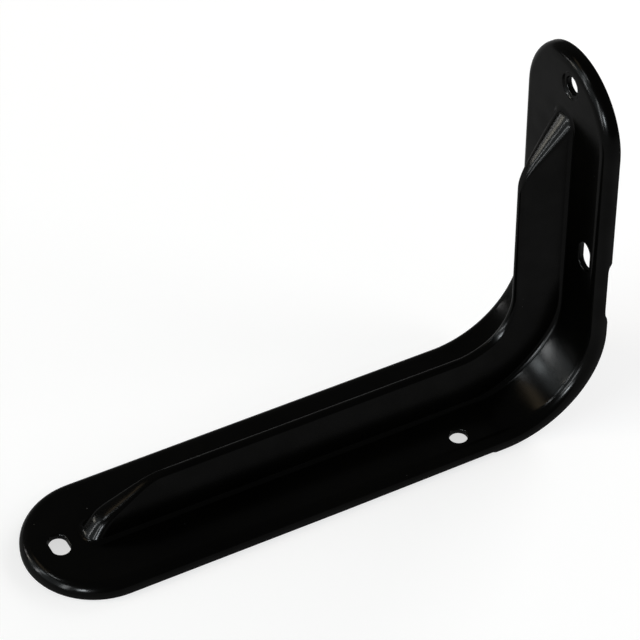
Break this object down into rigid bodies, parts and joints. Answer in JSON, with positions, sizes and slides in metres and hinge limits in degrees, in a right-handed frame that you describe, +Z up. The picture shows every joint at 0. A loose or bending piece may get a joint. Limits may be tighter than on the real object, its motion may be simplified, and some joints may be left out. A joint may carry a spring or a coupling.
{
  "type": "shelf bracket",
  "caption": "Right-angled shelf bracket pressed from sheet: a round-ended tray bent up, with a hollow stiffening rib, two screw holes and two slots.",
  "frame": {"origin": "middle of the part's box in X and Y, on the plane of the shelf leg's rim in Z", "axes": "+X along the shelf leg towards the wall leg, +Y across the strip away from the side with the two offset holes, +Z up the wall leg; the shelf leg's rims lie on Z = 0 and the wall leg's rims on X = 0.090"},
  "size_m": [0.18, 0.0456, 0.123],
  "materials": {
    "black_paint": "gloss"
  },
  "bodies": {
    "root": {"bracket": "black_paint"}
  },
  "joints": []
}
